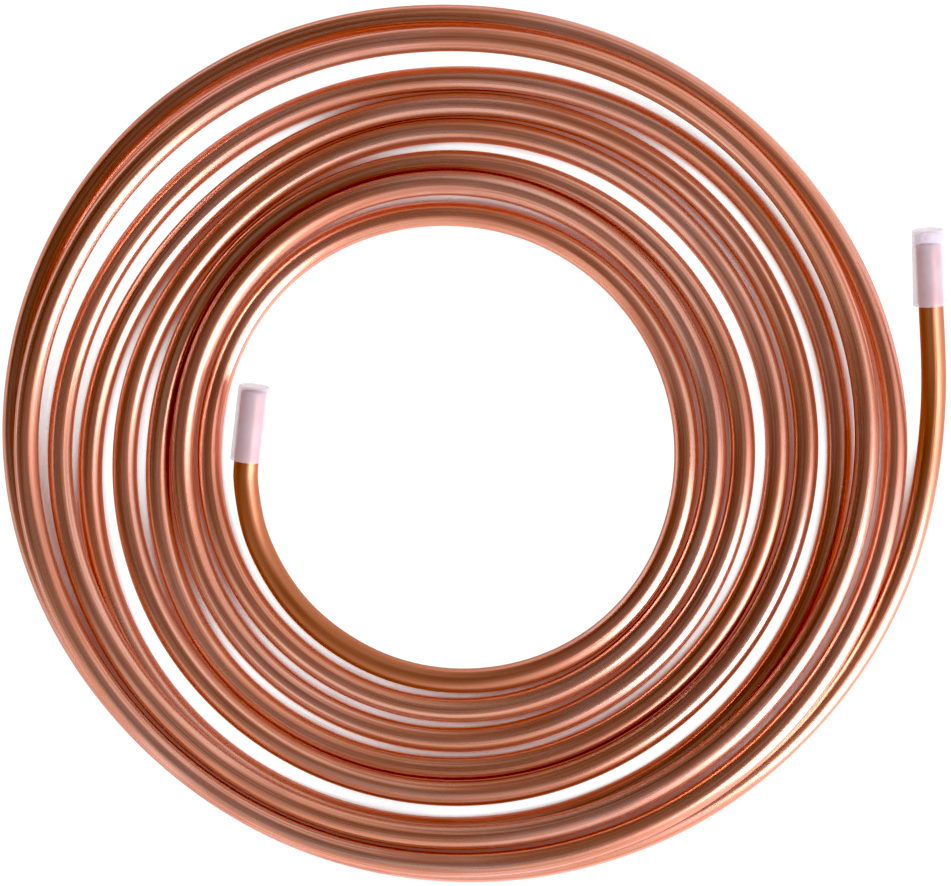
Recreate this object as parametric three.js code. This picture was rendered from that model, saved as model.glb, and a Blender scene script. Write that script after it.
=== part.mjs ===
// Chiller coil for home brewing: one length of soft copper tube, wound by hand into a flat
// spiral, with a push-on plastic cap on each open end. The wort chiller's water would run
// through the tube, so it is hollow and open at both ends under the caps.
// Millimetres, +Z up. The coil lies on z = 0, with the origin under the middle of its outline.

import * as THREE from 'three';

// Copper tube: 3/8 in outside diameter. It is built with flat sides that touch the round tube,
// and one of them faces straight down, so the coil rests flat.
const TUBE_RADIUS = 4.7625;
const TUBE_WALL = 0.76;
const TUBE_SIDES = 12;
const BORE_SIDES = 8;

// Spiral: it starts at the +X side and winds inwards, clockwise when seen from above
const COIL_CENTRE = new THREE.Vector3(-10, -1, 0);
const KNOTS_PER_TURN = 8;
const STEPS_PER_KNOT = 3;

// Centre-line radius at each eighth of a turn, one row a turn, outermost turn first.
// The turns were laid by hand, so their spacing wanders.
const TURN_RADII = [
  [186.5, 174.0, 165.0, 163.0, 169.0, 171.0, 166.5, 168.5],
  [173.0, 167.5, 162.0, 161.5, 163.5, 160.5, 157.0, 160.5],
  [161.5, 156.0, 151.5, 151.0, 151.0, 145.0, 142.5, 149.0],
  [151.5, 151.0, 149.5, 147.5, 139.5, 131.0, 132.5, 136.5],
  [138.5, 136.5, 135.0, 132.0, 126.0, 120.5, 122.5, 125.0],
  [127.5, 127.0, 126.0, 123.0, 113.0, 110.5, 110.0, 111.0],
  [114.0, 115.0, 114.5, 110.5, 103.5, 102.5, 101.5, 101.0],
  [103.0, 104.5, 103.0, 98.5, 93.5, 92.5, 90.0, 90.0],
  [92.0, 94.5, 91.5, 86.0],
];

// How far a turn is lifted off the floor where it lies on its neighbour: the second turn rides
// on the first, the third on the fourth, the fifth on the sixth and the seventh on the sixth
const TURN_LIFTS = [
  [2.2, 0, 0, 0, 0, 0, 0, 0],
  [1.5, 8.2, 9.7, 9.8, 9.6, 9.4, 8.6, 8.6],
  [7.5, 9.4, 9.7, 9.6, 4.2, 0, 0, 0],
  [0, 0, 0, 0, 0, 0, 0, 0],
  [0.5, 3.5, 5.0, 4.7, 1.0, 0, 0, 0],
  [0, 0, 0, 0, 0, 0, 0, 0],
  [0, 0, 0, 0, 3.5, 6.5, 6.2, 2.0],
  [0, 0, 0, 0, 0, 0, 0, 0],
  [0, 0, 0, 0],
];

// Free ends, from the coil's centre and with their lift as Z. Each leaves the spiral, rises off
// the floor and ends in the straight stretch that holds its cap.
const OUTER_TAIL = [[184.3, 77.2, 15.0], [185.8, 54.1, 10.6], [187.5, 25.2, 5.4]];
const INNER_TAIL = [
  [-70.0, -46.8, 0.5],
  [-75.8, -33.0, 1.9],
  [-78.5, -19.0, 3.7],
  [-78.9, -8.2, 5.3],
  [-75.4, 20.7, 10.6],
];

// End caps: soft plastic with a rounded closed end. The outer one's mouth is spread a little
// more than the inner one's.
const CAP_LENGTH = 29.5;
const OUTER_CAP_MOUTH_RADIUS = 6.85;
const INNER_CAP_MOUTH_RADIUS = 6.35;
const CAP_END_RADIUS = 6.2;
const CAP_BORE_RADIUS = 5.3;
const CAP_END_WALL = 1.6;
const CAP_ROUNDING = 1.0;
const CAP_SIDES = 24;
const OUTER_CAP_OVERLAP = 23.5;
const INNER_CAP_OVERLAP = 27.2;

const UP = new THREE.Vector3(0, 0, 1);

// A point given from the coil's centre with its lift, moved into the part's own frame
function place([x, y, lift]) {
  return new THREE.Vector3(x, y, TUBE_RADIUS + lift).add(COIL_CENTRE);
}

// Centre line of the spiral: radius and lift vary smoothly from knot to knot of winding angle,
// and every turn has its points at the same angles, so neighbouring turns stay side by side
function spiralPoints() {
  const radii = TURN_RADII.flat();
  const lifts = TURN_LIFTS.flat();
  const knots = radii.map((radius, index) => new THREE.Vector3(index, radius, lifts[index]));
  const winding = new THREE.CatmullRomCurve3(knots, false, 'catmullrom', 0.5);
  return winding.getPoints((knots.length - 1) * STEPS_PER_KNOT).map((knot) => {
    const angle = (-2 * Math.PI * knot.x) / KNOTS_PER_TURN;
    const lift = Math.max(knot.z, 0);
    return place([knot.y * Math.cos(angle), knot.y * Math.sin(angle), lift]);
  });
}

// An extrusion path through given points. Its sections stay upright, which keeps the tube's
// lowest side level all the way round.
class UprightPath extends THREE.Curve {
  constructor(points) {
    super();
    this.points = points;
  }

  getPoint(t) {
    return this.points[Math.round(t * (this.points.length - 1))].clone();
  }

  getSpacedPoints() {
    return this.points;
  }

  computeFrenetFrames() {
    const last = this.points.length - 1;
    const tangents = this.points.map((_, index) => {
      const before = this.points[Math.max(index - 1, 0)];
      const after = this.points[Math.min(index + 1, last)];
      return after.clone().sub(before).normalize();
    });
    const normals = tangents.map((tangent) => UP.clone().cross(tangent).normalize());
    const binormals = tangents.map((tangent, index) => tangent.clone().cross(normals[index]));
    return { tangents, normals, binormals };
  }
}

// Corners of a regular polygon with one side facing down
function polygon(sides, cornerRadius) {
  return Array.from({ length: sides }, (_, side) => {
    const angle = (2 * Math.PI * (side + 0.5)) / sides;
    return new THREE.Vector2(Math.sin(angle), -Math.cos(angle)).multiplyScalar(cornerRadius);
  });
}

function polygonArea(sides, cornerRadius) {
  return (sides / 2) * cornerRadius ** 2 * Math.sin((2 * Math.PI) / sides);
}

// Ring section with flat sides: the bore is sized so that the wall holds the round tube's metal
function tubeSection() {
  const cornerRadius = TUBE_RADIUS / Math.cos(Math.PI / TUBE_SIDES);
  const metal = Math.PI * (TUBE_RADIUS ** 2 - (TUBE_RADIUS - TUBE_WALL) ** 2);
  const boreArea = polygonArea(TUBE_SIDES, cornerRadius) - metal;
  const boreCornerRadius = Math.sqrt(boreArea / polygonArea(BORE_SIDES, 1));
  const section = new THREE.Shape(polygon(TUBE_SIDES, cornerRadius));
  section.holes.push(new THREE.Path(polygon(BORE_SIDES, boreCornerRadius)));
  return section;
}

function copperTube() {
  const points = [...OUTER_TAIL.map(place), ...spiralPoints(), ...INNER_TAIL.map(place)];
  const geometry = new THREE.ExtrudeGeometry(tubeSection(), {
    steps: points.length - 1,
    extrudePath: new UprightPath(points),
  });
  const copper = new THREE.MeshStandardMaterial({
    color: 0xc47a5a, roughness: 0.25, metalness: 1.0,
  });
  const mesh = new THREE.Mesh(geometry, copper);
  mesh.name = 'copper_tube';
  return mesh;
}

// Cup turned about its own Y axis, with its mouth at y = 0 and its closed end at CAP_LENGTH
function capGeometry(mouthRadius) {
  const rounding = new THREE.EllipseCurve(
    CAP_END_RADIUS - CAP_ROUNDING, CAP_LENGTH - CAP_ROUNDING,
    CAP_ROUNDING, CAP_ROUNDING, 0, Math.PI / 2,
  );
  const profile = [
    new THREE.Vector2(0, CAP_LENGTH - CAP_END_WALL),
    new THREE.Vector2(CAP_BORE_RADIUS, CAP_LENGTH - CAP_END_WALL),
    new THREE.Vector2(CAP_BORE_RADIUS, 0),
    new THREE.Vector2(mouthRadius, 0),
    ...rounding.getPoints(3),
    new THREE.Vector2(0, CAP_LENGTH),
  ];
  return new THREE.LatheGeometry(profile, CAP_SIDES);
}

// Cap pushed over a tube end, given the end and the point before it on the centre line
function endCap(name, mouthRadius, tubeEnd, beforeEnd, overlap) {
  const plastic = new THREE.MeshStandardMaterial({
    color: 0xe4dfe8, roughness: 0.45, metalness: 0.0, transparent: true, opacity: 0.6,
  });
  const mesh = new THREE.Mesh(capGeometry(mouthRadius), plastic);
  const axis = tubeEnd.clone().sub(beforeEnd).normalize();
  mesh.name = name;
  mesh.position.copy(tubeEnd).addScaledVector(axis, -overlap);
  mesh.quaternion.setFromUnitVectors(new THREE.Vector3(0, 1, 0), axis);
  return mesh;
}

const [outerEnd, beforeOuterEnd] = OUTER_TAIL.map(place);
const [beforeInnerEnd, innerEnd] = INNER_TAIL.slice(-2).map(place);

const outerCap = endCap(
  'outer_end_cap', OUTER_CAP_MOUTH_RADIUS, outerEnd, beforeOuterEnd, OUTER_CAP_OVERLAP,
);
const innerCap = endCap(
  'inner_end_cap', INNER_CAP_MOUTH_RADIUS, innerEnd, beforeInnerEnd, INNER_CAP_OVERLAP,
);

const group = new THREE.Group();
group.add(copperTube(), outerCap, innerCap);

export default group;
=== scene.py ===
"""Looks of the copper chiller coil: a round tube with draw lines, and two frosted end caps.

Metres, +Z up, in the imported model's frame. The tube's route repeats the CAD part's, and the two
caps sit on its ends, so every piece is where its CAD node is.
"""

import math

import bpy
import numpy as np
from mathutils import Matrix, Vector, noise


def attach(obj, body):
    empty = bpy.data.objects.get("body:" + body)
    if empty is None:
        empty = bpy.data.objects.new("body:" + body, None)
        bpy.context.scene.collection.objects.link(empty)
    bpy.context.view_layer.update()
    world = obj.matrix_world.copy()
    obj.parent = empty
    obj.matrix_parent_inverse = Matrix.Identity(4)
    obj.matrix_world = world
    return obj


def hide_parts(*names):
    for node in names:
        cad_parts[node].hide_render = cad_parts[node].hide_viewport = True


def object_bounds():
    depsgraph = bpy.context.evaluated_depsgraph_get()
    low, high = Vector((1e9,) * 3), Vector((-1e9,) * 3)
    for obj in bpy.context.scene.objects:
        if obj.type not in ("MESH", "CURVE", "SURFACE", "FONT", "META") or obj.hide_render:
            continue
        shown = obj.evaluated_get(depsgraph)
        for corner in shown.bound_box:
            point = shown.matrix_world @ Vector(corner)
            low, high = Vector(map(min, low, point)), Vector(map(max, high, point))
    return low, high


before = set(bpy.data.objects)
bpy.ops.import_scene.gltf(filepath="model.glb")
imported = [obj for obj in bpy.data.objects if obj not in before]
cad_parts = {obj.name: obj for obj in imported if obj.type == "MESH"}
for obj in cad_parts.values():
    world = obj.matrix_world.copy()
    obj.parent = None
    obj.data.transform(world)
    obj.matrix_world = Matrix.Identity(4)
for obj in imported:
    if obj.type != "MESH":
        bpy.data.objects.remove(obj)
CAD_LOW, CAD_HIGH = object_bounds()

# ---------------------------------------------------------------- the tube and its route

TUBE_RADIUS = 0.0047625
TUBE_WALL = 0.00076
TUBE_SIDES = 36
BORE_SIDES = 16
STATION_SPACING = 0.0041  # between two rings of the tube's mesh
CUT_EDGE = 0.0003  # how far a pipe cutter rolls the tube's cut edge in, and how far along
CUT_EDGE_RINGS = (0.0, 0.15, 0.5, 1.0)  # in shares of the rolled edge
SHARP_ANGLE = math.radians(40)

# What bending by hand leaves in the tube: wobble from side to side and up and down, and ovality.
# It fades out towards each end, where a cap fits.
SWAY, SWAY_WAVELENGTH, SWAY_SEED = 0.00007, 0.045, 3.1
HEAVE, HEAVE_WAVELENGTH, HEAVE_SEED = 0.00004, 0.060, 7.7
OVALITY, OVALITY_WAVELENGTH, OVALITY_SEED = 0.004, 0.09, 11.3
FADE_LENGTH = 0.06

COIL_CENTRE = np.array([-0.0100, -0.0010, 0.0])
KNOTS_PER_TURN = 8
STEPS_PER_KNOT = 3

# Centre-line radius at each eighth of a turn, one row a turn, outermost turn first
TURN_RADII = [
    [0.1865, 0.1740, 0.1650, 0.1630, 0.1690, 0.1710, 0.1665, 0.1685],
    [0.1730, 0.1675, 0.1620, 0.1615, 0.1635, 0.1605, 0.1570, 0.1605],
    [0.1615, 0.1560, 0.1515, 0.1510, 0.1510, 0.1450, 0.1425, 0.1490],
    [0.1515, 0.1510, 0.1495, 0.1475, 0.1395, 0.1310, 0.1325, 0.1365],
    [0.1385, 0.1365, 0.1350, 0.1320, 0.1260, 0.1205, 0.1225, 0.1250],
    [0.1275, 0.1270, 0.1260, 0.1230, 0.1130, 0.1105, 0.1100, 0.1110],
    [0.1140, 0.1150, 0.1145, 0.1105, 0.1035, 0.1025, 0.1015, 0.1010],
    [0.1030, 0.1045, 0.1030, 0.0985, 0.0935, 0.0925, 0.0900, 0.0900],
    [0.0920, 0.0945, 0.0915, 0.0860],
]

# How far each eighth is lifted off the floor, where a turn lies on its neighbour
TURN_LIFTS = [
    [0.0022, 0, 0, 0, 0, 0, 0, 0],
    [0.0015, 0.0082, 0.0097, 0.0098, 0.0096, 0.0094, 0.0086, 0.0086],
    [0.0075, 0.0094, 0.0097, 0.0096, 0.0042, 0, 0, 0],
    [0, 0, 0, 0, 0, 0, 0, 0],
    [0.0005, 0.0035, 0.0050, 0.0047, 0.0010, 0, 0, 0],
    [0, 0, 0, 0, 0, 0, 0, 0],
    [0, 0, 0, 0, 0.0035, 0.0065, 0.0062, 0.0020],
    [0, 0, 0, 0, 0, 0, 0, 0],
    [0, 0, 0, 0],
]

# Free ends, from the coil's centre and with their lift as Z
OUTER_TAIL = [[0.1843, 0.0772, 0.0150], [0.1858, 0.0541, 0.0106], [0.1875, 0.0252, 0.0054]]
INNER_TAIL = [
    [-0.0700, -0.0468, 0.0005],
    [-0.0758, -0.0330, 0.0019],
    [-0.0785, -0.0190, 0.0037],
    [-0.0789, -0.0082, 0.0053],
    [-0.0754, 0.0207, 0.0106],
]

# ---------------------------------------------------------------- the end caps

CAP_LENGTH = 0.0295
OUTER_CAP_MOUTH_RADIUS = 0.00685
INNER_CAP_MOUTH_RADIUS = 0.00635
CAP_END_RADIUS = 0.0062
CAP_BORE_RADIUS = 0.0053
CAP_END_WALL = 0.0016
CAP_ROUNDING = 0.0010
CAP_BORE_FILLET = 0.0006
CAP_LIP_RADIUS = 0.0003
CAP_LEAD_IN = 0.0004  # how much the mouth widens at the bore's edge
CAP_DOME = 0.00006  # how far the middle of the closed end bulges out
CAP_SIDES = 72
OUTER_CAP_OVERLAP = 0.0235
INNER_CAP_OVERLAP = 0.0272

# Every piece carries its own straight coordinates: across, up and along it, in metres
PIECE_SPACE = "piece_space"


def place(point):
    """A point given from the coil's centre with its lift, in the part's frame."""
    x, y, lift = point
    return COIL_CENTRE + np.array([x, y, TUBE_RADIUS + lift])


def catmull_rom(values, steps):
    """The values of a Catmull-Rom curve through equally spaced knots, steps to a knot."""
    padded = [2 * values[0] - values[1], *values, 2 * values[-1] - values[-2]]
    result = []
    for before, start, end, after in zip(padded, padded[1:], padded[2:], padded[3:]):
        leaving, arriving = (end - before) / 2, (after - start) / 2
        cubic = 2 * (start - end) + leaving + arriving
        square = 3 * (end - start) - 2 * leaving - arriving
        for step in range(steps):
            t = step / steps
            result.append(start + leaving * t + square * t**2 + cubic * t**3)
    return result + [values[-1]]


def spiral_points():
    """The spiral's centre line at equal steps of winding, from the outside in."""
    radii = catmull_rom(sum(TURN_RADII, []), STEPS_PER_KNOT)
    lifts = catmull_rom(sum(TURN_LIFTS, []), STEPS_PER_KNOT)
    points = []
    for index, (radius, lift) in enumerate(zip(radii, lifts)):
        angle = -2 * math.pi * index / (STEPS_PER_KNOT * KNOTS_PER_TURN)
        x, y = radius * math.cos(angle), radius * math.sin(angle)
        points.append(place([x, y, max(lift, 0)]))
    return points


def spline_tangents(points, chords, first, last):
    """Tangents of the cubic spline through points, with its two end tangents given."""
    count = len(points)
    matrix = np.zeros((count, count))
    right = np.zeros((count, 3))
    matrix[0, 0] = matrix[-1, -1] = 1
    right[0], right[-1] = first, last
    slopes = np.diff(points, axis=0) / chords[:, None]
    for i in range(1, count - 1):
        matrix[i, i - 1 : i + 2] = chords[i], 2 * (chords[i - 1] + chords[i]), chords[i - 1]
        right[i] = 3 * (chords[i] * slopes[i - 1] + chords[i - 1] * slopes[i])
    return np.linalg.solve(matrix, right)


def smooth_stations(points, first, last):
    """Points about STATION_SPACING apart on the smooth curve through the given points."""
    points = np.array(points)
    chords = np.linalg.norm(np.diff(points, axis=0), axis=1)
    tangents = spline_tangents(points, chords, first, last)
    stations = []
    for i, chord in enumerate(chords):
        for t in np.linspace(0, 1, math.ceil(chord / STATION_SPACING), endpoint=False):
            stations.append(
                (1 + 2 * t) * (1 - t) ** 2 * points[i]
                + t * (1 - t) ** 2 * chord * tangents[i]
                + t**2 * (3 - 2 * t) * points[i + 1]
                - t**2 * (1 - t) * chord * tangents[i + 1]
            )
    return np.array(stations + [points[-1]])


def unit(vector):
    return vector / np.linalg.norm(vector)


def straight(start, end):
    """Stations along a straight stretch, without its last point."""
    count = math.ceil(np.linalg.norm(end - start) / STATION_SPACING)
    return [start + (end - start) * step / count for step in range(count)]


def tube_route():
    """The whole centre line: straight in each cap, and one smooth curve between the caps."""
    outer = [place(point) for point in OUTER_TAIL]
    inner = [place(point) for point in INNER_TAIL]
    knots = outer[1:] + spiral_points() + inner[:-1]
    middle = smooth_stations(knots, unit(outer[1] - outer[0]), unit(inner[-1] - inner[-2]))
    start, end = straight(outer[0], outer[1]), straight(inner[-1], inner[-2])
    return np.vstack([start, middle, end[::-1]])


ROUTE = tube_route()
STEPS_ALONG = np.linalg.norm(np.diff(ROUTE, axis=0), axis=1)
ALONG = np.concatenate([[0.0], np.cumsum(STEPS_ALONG)])
TUBE_LENGTH = ALONG[-1]


def mesh_object(name, vertices, faces, coordinates):
    """A smooth-shaded mesh object that carries its own straight coordinates."""
    mesh = bpy.data.meshes.new(name)
    mesh.from_pydata([tuple(v) for v in vertices], [], faces)
    mesh.shade_smooth()
    mesh.set_sharp_from_angle(angle=SHARP_ANGLE)
    attribute = mesh.attributes.new(PIECE_SPACE, "FLOAT_VECTOR", "POINT")
    attribute.data.foreach_set("vector", np.array(coordinates, np.float32).ravel())
    piece = bpy.data.objects.new(name, mesh)
    bpy.context.scene.collection.objects.link(piece)
    return piece


def wander(along, wavelength, seed):
    """A smooth random value between about -1 and 1 that changes along the tube."""
    return noise.noise(Vector((along / wavelength, seed, 0.5 * seed)))


def upright_frames(route):
    """For every station, the level direction across the tube and the direction up from it."""
    tangents = np.gradient(route, axis=0)
    tangents /= np.linalg.norm(tangents, axis=1)[:, None]
    across = np.cross([0, 0, 1], tangents)
    across /= np.linalg.norm(across, axis=1)[:, None]
    return across, np.cross(tangents, across)


def tube_wall(sides, radius, rings, across, up, offset):
    """Vertices, straight coordinates and faces of one wall of the tube, outer or bore."""
    angles = np.arange(sides) * 2 * math.pi / sides
    vertices, coordinates, faces = [], [], []
    for ring, (along, centre, squeeze) in enumerate(rings):
        turned = np.cos(2 * angles) * squeeze
        reach = radius[ring] * (1 + turned)
        points = centre + np.outer(np.cos(angles) * reach, across[ring])
        vertices.append(points + np.outer(np.sin(angles) * reach, up[ring]))
        around = TUBE_RADIUS * np.cos(angles), TUBE_RADIUS * np.sin(angles)
        coordinates.append(np.column_stack([*around, np.full(sides, along)]))
    for ring in range(len(rings) - 1):
        for side in range(sides):
            here, there = offset + ring * sides, offset + (ring + 1) * sides
            beside = (side + 1) % sides
            faces.append((here + side, here + beside, there + beside, there + side))
    return np.vstack(vertices), np.vstack(coordinates), faces


def end_face(outer_start, bore_start, flipped):
    """Triangles between the outer ring and the bore's ring at one cut end."""
    faces = []
    outer_side = bore_side = 0
    while outer_side < TUBE_SIDES or bore_side < BORE_SIDES:
        outer_here = outer_start + outer_side % TUBE_SIDES
        bore_here = bore_start + bore_side % BORE_SIDES
        outer_is_behind = (outer_side + 1) * BORE_SIDES <= (bore_side + 1) * TUBE_SIDES
        if bore_side == BORE_SIDES or (outer_side < TUBE_SIDES and outer_is_behind):
            outer_side += 1
            face = (outer_here, outer_start + outer_side % TUBE_SIDES, bore_here)
        else:
            bore_side += 1
            face = (outer_here, bore_start + bore_side % BORE_SIDES, bore_here)
        faces.append(face[::-1] if flipped else face)
    return faces


def build_tube():
    """The round hollow tube, with the small wobble and ovality of tube bent by hand."""
    rolled = CUT_EDGE * np.array(CUT_EDGE_RINGS)
    stations = np.concatenate([rolled, ALONG[1:-1], TUBE_LENGTH - rolled[::-1]])
    route = np.column_stack([np.interp(stations, ALONG, axis) for axis in ROUTE.T])
    across, up = upright_frames(route)
    rings = []
    for index, along in enumerate(stations):
        free = min(along, TUBE_LENGTH - along, FADE_LENGTH) / FADE_LENGTH
        sway = SWAY * free * wander(along, SWAY_WAVELENGTH, SWAY_SEED)
        heave = HEAVE * free * wander(along, HEAVE_WAVELENGTH, HEAVE_SEED)
        centre = route[index] + across[index] * sway + up[index] * heave
        uneven = OVALITY * wander(along, OVALITY_WAVELENGTH, OVALITY_SEED)
        squeeze = free * (OVALITY + uneven)
        rings.append((along, centre, squeeze))
    to_end = np.minimum(np.minimum(stations, TUBE_LENGTH - stations) / CUT_EDGE, 1)
    roll = CUT_EDGE * (1 - np.sqrt(1 - (1 - to_end) ** 2))
    outer_radius = TUBE_RADIUS - roll
    bore_radius = TUBE_RADIUS - TUBE_WALL - roll / 2
    outer = tube_wall(TUBE_SIDES, outer_radius, rings, across, up, 0)
    first_bore = len(outer[0])
    bore = tube_wall(BORE_SIDES, bore_radius, rings, across, up, first_bore)
    faces = outer[2] + [face[::-1] for face in bore[2]]
    faces += end_face(0, first_bore, flipped=True)
    last = len(rings) - 1
    faces += end_face(last * TUBE_SIDES, first_bore + last * BORE_SIDES, flipped=False)
    vertices = np.vstack([outer[0], bore[0]])
    return mesh_object("coil_tube", vertices, faces, np.vstack([outer[1], bore[1]]))


def arc(radius_centre, along_centre, radius, start, end, count):
    """Profile points on an arc, with its angles in degrees from the outward direction."""
    angles = np.radians(np.linspace(start, end, count))
    return [
        (radius_centre + radius * math.cos(a), along_centre + radius * math.sin(a)) for a in angles
    ]


def cap_profile(mouth_radius):
    """Half section of a cap as (radius, distance from the mouth), from inside to outside."""
    inner_end = CAP_LENGTH - CAP_END_WALL
    fillet, lip = CAP_BORE_FILLET, CAP_LIP_RADIUS
    rounding = CAP_END_RADIUS - CAP_ROUNDING, CAP_LENGTH - CAP_ROUNDING, CAP_ROUNDING
    outside = [
        (mouth_radius - (mouth_radius - CAP_END_RADIUS) * share, CAP_LENGTH * share)
        for share in np.linspace(0.03, 0.94, 9)
    ]
    return [
        (0.0, inner_end),
        *arc(CAP_BORE_RADIUS - fillet, inner_end - fillet, fillet, 90, 0, 5),
        *[(CAP_BORE_RADIUS, inner_end * share) for share in (0.7, 0.4, 0.1)],
        (CAP_BORE_RADIUS + CAP_LEAD_IN, lip),
        *arc(mouth_radius - lip, lip, lip, -110, -5, 6),
        *outside,
        *arc(*rounding, 4, 86, 8),
        (CAP_END_RADIUS * 0.55, CAP_LENGTH + CAP_DOME * 2 / 3),
        (0.0, CAP_LENGTH + CAP_DOME),
    ]


def build_cap(name, tube_end, before_end, overlap, mouth_radius):
    """A push-on cap turned about the tube's own axis, closed end outwards."""
    axis = unit(tube_end - before_end)
    across = unit(np.cross([0, 0, 1], axis))
    up = np.cross(axis, across)
    mouth = tube_end - axis * overlap
    profile = cap_profile(mouth_radius)
    angles = np.arange(CAP_SIDES) * 2 * math.pi / CAP_SIDES
    vertices, coordinates, rings = [], [], []
    for radius, along in profile:
        spokes = angles[:1] if radius == 0 else angles
        rings.append(range(len(vertices), len(vertices) + len(spokes)))
        for angle in spokes:
            x, y = radius * math.cos(angle), radius * math.sin(angle)
            vertices.append(mouth + across * x + up * y + axis * along)
            coordinates.append((x, y, along))
    faces = []
    for here, there in zip(rings, rings[1:]):
        for side in range(CAP_SIDES):
            beside = (side + 1) % CAP_SIDES
            corners = [here[side % len(here)], there[side % len(there)]]
            corners += [there[beside % len(there)], here[beside % len(here)]]
            faces.append(list(dict.fromkeys(corners)))
    return mesh_object(name, vertices, faces, coordinates)


# ---------------------------------------------------------------- materials


class Nodes:
    """A node tree, with short calls for the nodes that the materials and the room share."""

    def __init__(self, owner):
        owner.use_nodes = True
        self.tree = owner.node_tree

    def add(self, kind, inputs=None, **settings):
        """A new node with its settings made, and its inputs set or linked."""
        node = self.tree.nodes.new("ShaderNode" + kind)
        for key, value in settings.items():
            setattr(node, key, value)
        for key, value in (inputs or {}).items():
            self.feed(node.inputs[key], value)
        return node

    def feed(self, socket, value):
        """Links value to the socket if it is a node's output, or else sets the socket to it."""
        if isinstance(value, bpy.types.NodeSocket):
            self.tree.links.new(value, socket)
        else:
            socket.default_value = value

    def math(self, operation, first, second=0.0):
        return self.add("Math", {0: first, 1: second}, operation=operation).outputs[0]

    def stretched(self, scale, turn=(0, 0, 0)):
        """The piece's own coordinates, turned and scaled: features come out 1 / scale long."""
        space = self.add("Attribute", attribute_name=PIECE_SPACE).outputs["Vector"]
        inputs = {"Vector": space, "Scale": scale, "Rotation": turn}
        return self.add("Mapping", inputs, vector_type="POINT").outputs[0]

    def noise(self, scale, detail=2.0, roughness=0.5, turn=(0, 0, 0)):
        """Noise about 0.5, in the piece's own coordinates."""
        inputs = {
            "Vector": self.stretched(scale, turn),
            "Scale": 1.0,
            "Detail": detail,
            "Roughness": roughness,
        }
        return self.add("TexNoise", inputs).outputs["Fac"]

    def spread(self, value, low, high, to_low=0.0, to_high=1.0):
        """Maps low..high to to_low..to_high, smoothly and without going past them."""
        inputs = {
            "Value": value,
            "From Min": low,
            "From Max": high,
            "To Min": to_low,
            "To Max": to_high,
        }
        return self.add("MapRange", inputs, interpolation_type="SMOOTHSTEP").outputs[0]

    def mix(self, amount, first, second):
        """A colour between first and second."""
        node = self.add("Mix", data_type="RGBA")
        for name, value in (("Factor", amount), ("A", first), ("B", second)):
            self.feed(next(s for s in node.inputs if s.name == name and s.enabled), value)
        return next(s for s in node.outputs if s.enabled)

    def total(self, *values):
        """The sum of the values."""
        result = values[0]
        for value in values[1:]:
            result = self.math("ADD", result, value)
        return result

    def bump(self, height):
        """A normal from a height in metres."""
        return self.add("Bump", {"Height": height, "Distance": 1.0, "Strength": 1.0}).outputs[0]


class SurfaceNodes(Nodes):
    """The nodes of a new material, with its main shader at hand."""

    def __init__(self, name):
        self.material = bpy.data.materials.new(name)
        super().__init__(self.material)
        self.shader = self.tree.nodes["Principled BSDF"]

    def set(self, **values):
        """Sets or links the shader's inputs, named with underscores for spaces."""
        for name, value in values.items():
            self.feed(self.shader.inputs[name.replace("_", " ")], value)


BRIGHT_COPPER = (0.955, 0.485, 0.345, 1)
PINK_COPPER = (0.97, 0.56, 0.45, 1)
BROWN_COPPER = (0.73, 0.35, 0.25, 1)
PALE_COPPER = (1.0, 0.66, 0.54, 1)
HANDLED_COPPER = (0.60, 0.28, 0.16, 1)
# Painted reflection: the colour copper takes only where another turn reflects it
PAINTED_REFLECTION_COPPER = (0.88, 0.68, 0.59, 1)  # paler, so that the gaps between turns don't turn red
COPPER_METALLIC = 0.85

# Scales across, up and along the tube: a feature comes out about 1 / scale metres long
DRAW_LINE_SCALE = (1000, 1000, 6)
BAND_SCALE = (420, 420, 5)
PATCH_SCALE = (70, 70, 22)
WARM_PATCH_SCALE = (45, 45, 9)
GRAIN_SCALE = (5200, 5200, 3000)
SPECK_SCALE = (2100, 2100, 1300)
SCRATCH_SCALE = (2600, 500, 90)
SCRATCH_TURN = (0, 0.5, 0.9)

DRAW_LINE_HEIGHT = 60e-6
BAND_HEIGHT = 150e-6
GRAIN_HEIGHT = 0.6e-6
SCRATCH_DEPTH = 5e-6

# Where hands have dulled the tube, by distance from its outer and its inner end: fully up to the
# shorter distance, and not at all past the longer one
OUTER_HANDLED = (0.07, 0.13)
INNER_HANDLED = (0.24, 0.10)
HANDLED_SHARE = 0.9
HANDLED_DULLING = 0.12


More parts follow.
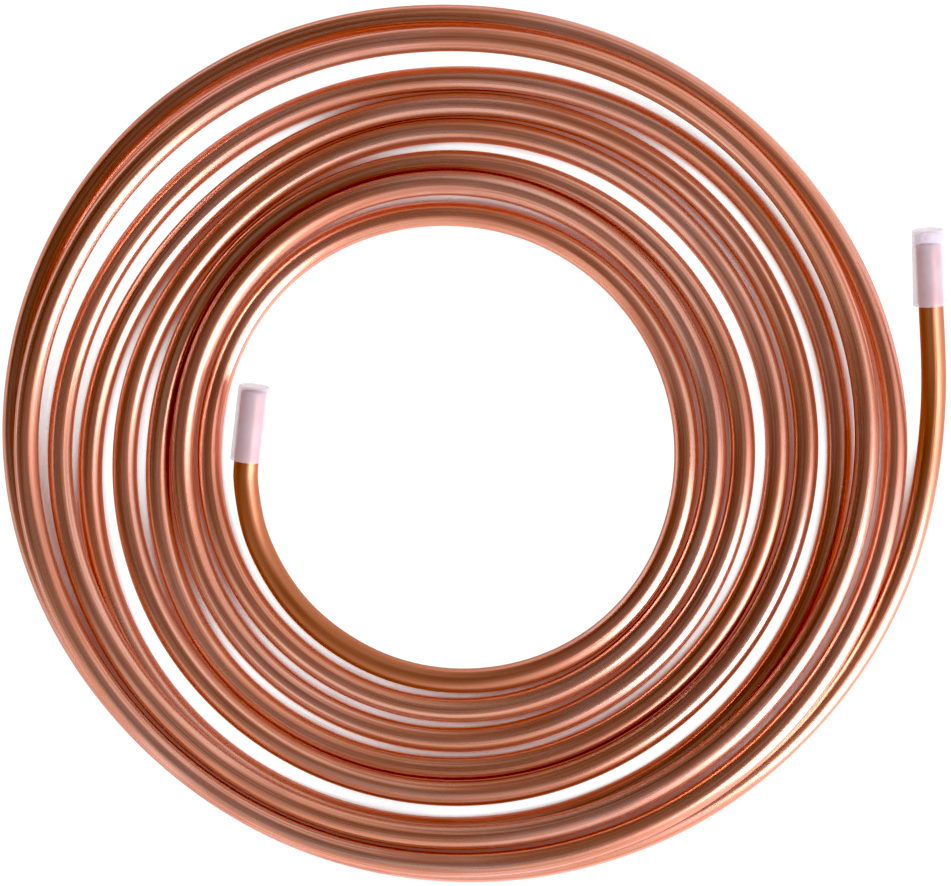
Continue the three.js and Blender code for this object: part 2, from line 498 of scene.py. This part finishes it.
def copper_material():
    """Bright drawn copper: lengthwise draw lines, faint tarnish in patches, handled ends, and a
    paler colour painted where copper is seen reflected in copper.
    """
    nodes = SurfaceNodes("drawn_copper")
    draw_lines = nodes.noise(DRAW_LINE_SCALE, detail=3, roughness=0.6)
    bands = nodes.noise(BAND_SCALE, detail=2)
    patches = nodes.noise(PATCH_SCALE, detail=3)
    warm_patches = nodes.noise(WARM_PATCH_SCALE, detail=2)
    grain = nodes.noise(GRAIN_SCALE, detail=1)
    specks = nodes.noise(SPECK_SCALE, detail=2)
    scratches = nodes.noise(SCRATCH_SCALE, detail=1, turn=SCRATCH_TURN)

    along = nodes.add("SeparateXYZ", {0: nodes.stretched((1, 1, 1))}).outputs[2]
    outer_end = nodes.spread(along, *OUTER_HANDLED, 1.0, 0.0)
    inner_end = nodes.spread(along, *[TUBE_LENGTH - distance for distance in INNER_HANDLED])
    handled = nodes.math("MULTIPLY", nodes.total(outer_end, inner_end), HANDLED_SHARE)

    colour = nodes.mix(nodes.spread(warm_patches, 0.42, 0.62), BRIGHT_COPPER, PINK_COPPER)
    colour = nodes.mix(nodes.spread(patches, 0.50, 0.66, 0.0, 0.45), colour, BROWN_COPPER)
    colour = nodes.mix(nodes.spread(draw_lines, 0.50, 0.61, 0.0, 0.75), colour, BROWN_COPPER)
    colour = nodes.mix(nodes.spread(draw_lines, 0.47, 0.37, 0.0, 0.75), colour, PALE_COPPER)
    colour = nodes.mix(nodes.spread(specks, 0.58, 0.72, 0.0, 0.55), colour, BROWN_COPPER)
    colour = nodes.mix(handled, colour, HANDLED_COPPER)
    # Painted reflection: where a turn is seen mirrored in copper, it takes the paler colour
    # instead
    seen_in_copper = nodes.add("LightPath").outputs["Is Glossy Ray"]
    dullness = nodes.total(
        nodes.spread(patches, 0.40, 0.70, 0.27, 0.36),
        nodes.spread(draw_lines, 0.35, 0.70, -0.03, 0.05),
        nodes.math("MULTIPLY", handled, HANDLED_DULLING),
    )
    height = nodes.total(
        nodes.math("MULTIPLY", draw_lines, DRAW_LINE_HEIGHT),
        nodes.math("MULTIPLY", bands, BAND_HEIGHT),
        nodes.math("MULTIPLY", grain, GRAIN_HEIGHT),
        nodes.spread(scratches, 0.70, 0.80, 0.0, -SCRATCH_DEPTH),
    )
    nodes.set(
        Base_Color=nodes.mix(seen_in_copper, colour, PAINTED_REFLECTION_COPPER),
        Roughness=dullness,
        Normal=nodes.bump(height),
        Metallic=COPPER_METALLIC,
    )
    return nodes.material


MILKY_PLASTIC = (0.80, 0.78, 0.86, 1)
PINK_PLASTIC = (0.78, 0.70, 0.76, 1)
# Painted glow: the cap shines a little of its own, standing in for light that wanders through the
# wall and off the copper
PAINTED_CAP_GLOW = (1.0, 0.82, 0.88, 1)  # light that has wandered through the wall and off the copper
GLOW_STRENGTH = 0.20
PLASTIC_ALPHA = 0.38
PLASTIC_IOR = 1.35

CLOUD_SCALE = (160, 160, 110)
DRAG_SCALE = (1300, 1300, 40)
FROST_SCALE = (4200, 4200, 4200)
CLOUD_HEIGHT = 60e-6
DRAG_HEIGHT = 5e-6
FROST_HEIGHT = 1.2e-6
DRAG_DULLING = 0.06


def cap_material():
    """Frosted natural polyethylene, with drag marks and a faint painted glow, that lets the copper
    show through.
    """
    nodes = SurfaceNodes("frosted_cap_plastic")
    cloud = nodes.noise(CLOUD_SCALE, detail=3)
    drag = nodes.noise(DRAG_SCALE, detail=2)
    frost = nodes.noise(FROST_SCALE, detail=2)
    dullness = nodes.total(
        nodes.spread(cloud, 0.3, 0.7, 0.34, 0.44),
        nodes.math("MULTIPLY", drag, DRAG_DULLING),
    )
    height = nodes.total(
        nodes.math("MULTIPLY", drag, DRAG_HEIGHT),
        nodes.math("MULTIPLY", frost, FROST_HEIGHT),
        nodes.math("MULTIPLY", cloud, CLOUD_HEIGHT),
    )
    nodes.set(
        Base_Color=nodes.mix(nodes.spread(cloud, 0.35, 0.7), MILKY_PLASTIC, PINK_PLASTIC),
        Roughness=dullness,
        Normal=nodes.bump(height),
        IOR=PLASTIC_IOR,
        Alpha=PLASTIC_ALPHA,
        Emission_Color=PAINTED_CAP_GLOW,
        Emission_Strength=GLOW_STRENGTH,
    )
    return nodes.material


FLOOR_PAPER = (0.88, 0.85, 0.86, 1)
FLOOR_GLOW = (0.25, 0.235, 0.23, 1)
# Painted shade with a painted copper tint: darker, pinker paper and glow that only the camera
# sees, showing where the table isn't open
PAINTED_GAP_SHADE = (0.62, 0.46, 0.44, 1)  # how the table shows in the narrow gaps between turns
PAINTED_GAP_SHADE_GLOW = (0.17, 0.11, 0.10, 1)
FLOOR_WHITE = (1.05, 1.05, 1.05, 1)
OPEN_GROUND = (0.18, 0.26)  # share of open sky where the floor starts and ends turning white
OPEN_REACH = 0.02  # how near something must be to take sky from the floor


def floor_material():
    """A pale light table, exposed to white where it is open, and with painted shade and a painted
    copper tint in narrow gaps.
    """
    nodes = SurfaceNodes("pale_floor")
    seen = nodes.add("LightPath").outputs["Is Camera Ray"]
    paper = nodes.add("BsdfDiffuse", {"Color": nodes.mix(seen, FLOOR_PAPER, PAINTED_GAP_SHADE)}).outputs[0]
    glow = nodes.add("Emission", {"Color": nodes.mix(seen, FLOOR_GLOW, PAINTED_GAP_SHADE_GLOW)}).outputs[0]
    table = nodes.add("AddShader", {0: paper, 1: glow}).outputs[0]
    white = nodes.add("Emission", {"Color": FLOOR_WHITE}).outputs[0]
    openness = nodes.add("AmbientOcclusion", {"Distance": OPEN_REACH}, samples=32).outputs["AO"]
    exposed = nodes.math("MULTIPLY", seen, nodes.spread(openness, *OPEN_GROUND))
    shade = nodes.add("MixShader", {0: exposed, 1: table, 2: white}).outputs[0]
    nodes.feed(nodes.tree.nodes["Material Output"].inputs["Surface"], shade)
    return nodes.material


# ---------------------------------------------------------------- stage, light and camera

FLOOR_HALF_SIDE = 8.0

KEY = {
    "azimuth": -32, "elevation": 25, "distance": 2.8, "width": 1.5, "height": 3.0,
    "radiance": 5.6, "colour": (1.0, 0.99, 1.12),
}

# Brightness of the room at mid height, by azimuth in degrees
ROOM = [
    (-180, 0.19), (-165, 0.22), (-152, 0.70), (-132, 1.00), (-112, 0.76),
    (-88, 0.76), (-60, 0.74), (5, 0.74), (30, 0.86), (50, 0.84),
    (70, 0.73), (90, 0.44), (108, 0.25), (145, 0.12), (180, 0.19),
]
ROOM_OVERHEAD = (0.22, 0.22, 0.22, 1)
OVERHEAD_ELEVATIONS = (42, 75)  # degrees at which the room starts and ends turning into it

BLACK_LEVEL = 0.072  # the picture's black point and gamma, for deep copper tones in even light
VIEW_GAMMA = 0.86
MIRROR_BOUNCES = 14  # enough to follow light down into the gaps between turns
EXTRA_BOUNCES = 4  # for the table and the caps, on top of those

MILLIMETRES = 1000  # in a metre: a camera's lens and sensor are set in them
CAMERA_HEIGHT = 1.4048
CAMERA_ASIDE = (0.0006, 0.0001)  # from the middle of the part's box
CAMERA_LENS = 0.1363
CAMERA_REACH = 50.0
SENSOR_WIDTH = 0.036


def build_floor():
    half = FLOOR_HALF_SIDE
    corners = [(-half, -half, 0), (half, -half, 0), (half, half, 0), (-half, half, 0)]
    floor = mesh_object("floor", corners, [(0, 1, 2, 3)], corners)
    floor.data.materials.append(floor_material())


def build_softbox(name, azimuth, elevation, distance, width, height, radiance, colour):
    """A rectangular light of even brightness that faces the coil."""
    a, e = math.radians(azimuth), math.radians(elevation)
    outward = Vector((math.cos(a) * math.cos(e), math.sin(a) * math.cos(e), math.sin(e)))
    lamp = bpy.data.lights.new(name, "AREA")
    lamp.shape = "RECTANGLE"
    lamp.size, lamp.size_y = width, height
    lamp.color = colour
    lamp.energy = radiance * math.pi * width * height
    box = bpy.data.objects.new(name, lamp)
    box.location = outward * distance
    box.rotation_euler = outward.to_track_quat("Z", "Y").to_euler()
    box.visible_camera = False
    bpy.context.scene.collection.objects.link(box)


def build_room():
    """Surroundings whose brightness changes smoothly with azimuth, and dim to a dark overhead."""
    world = bpy.data.worlds.new("room")
    nodes = Nodes(world)
    direction = nodes.add("TexCoord").outputs["Generated"]
    x, y, z = nodes.add("SeparateXYZ", {0: direction}).outputs
    azimuth = nodes.math("ARCTAN2", y, x)
    whole_turn = {"Value": azimuth, "From Min": -math.pi, "From Max": math.pi}
    share = nodes.add("MapRange", whole_turn).outputs[0]
    ramp = nodes.add("ValToRGB", {0: share})
    stops = ramp.color_ramp.elements
    while len(stops) < len(ROOM):
        stops.new(0.5)
    for stop, (degrees, brightness) in zip(stops, ROOM):
        stop.position = (degrees + 180) / 360
        stop.color = (brightness, brightness, brightness, 1)
    start, end = [math.sin(math.radians(elevation)) for elevation in OVERHEAD_ELEVATIONS]
    surroundings = nodes.mix(nodes.spread(z, start, end), ramp.outputs[0], ROOM_OVERHEAD)
    nodes.feed(nodes.tree.nodes["Background"].inputs["Color"], surroundings)
    bpy.context.scene.world = world


def build_camera():
    """Straight above the coil, with +Y up in the picture."""
    camera = bpy.data.cameras.new("camera")
    camera.sensor_width = SENSOR_WIDTH * MILLIMETRES
    camera.lens = CAMERA_LENS * MILLIMETRES
    camera.clip_end = CAMERA_REACH
    view = bpy.data.objects.new("camera", camera)
    centre = (CAD_LOW + CAD_HIGH) / 2
    view.location = (centre.x + CAMERA_ASIDE[0], centre.y + CAMERA_ASIDE[1], CAMERA_HEIGHT)
    bpy.context.scene.collection.objects.link(view)
    bpy.context.scene.camera = view


def set_light_paths():
    """Copper turns mirror each other many times over before the light leaves the gaps."""
    paths = bpy.context.scene.cycles
    paths.max_bounces = MIRROR_BOUNCES + EXTRA_BOUNCES
    paths.glossy_bounces = MIRROR_BOUNCES


def set_exposure():
    """A plain view transform with its black point and contrast raised."""
    settings = bpy.context.scene.view_settings
    settings.view_transform = "Standard"
    settings.use_curve_mapping = True
    settings.curve_mapping.black_level = (BLACK_LEVEL,) * 3
    settings.curve_mapping.update()
    settings.gamma = VIEW_GAMMA


def main():
    tube = build_tube()
    tube.data.materials.append(copper_material())
    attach(tube, "coil")
    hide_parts("copper_tube")

    plastic = cap_material()
    outer = [place(point) for point in OUTER_TAIL[:2]]
    inner = [place(point) for point in INNER_TAIL[:-3:-1]]
    caps = [
        ("outer", *outer, OUTER_CAP_OVERLAP, OUTER_CAP_MOUTH_RADIUS),
        ("inner", *inner, INNER_CAP_OVERLAP, INNER_CAP_MOUTH_RADIUS),
    ]
    for side, tube_end, before_end, overlap, mouth_radius in caps:
        cap = build_cap(f"{side}_cap_shell", tube_end, before_end, overlap, mouth_radius)
        cap.data.materials.append(plastic)
        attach(cap, f"{side}_cap")
        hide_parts(f"{side}_end_cap")

    build_floor()
    build_softbox("key_softbox", **KEY)
    build_room()
    build_camera()
    set_light_paths()
    set_exposure()


main()
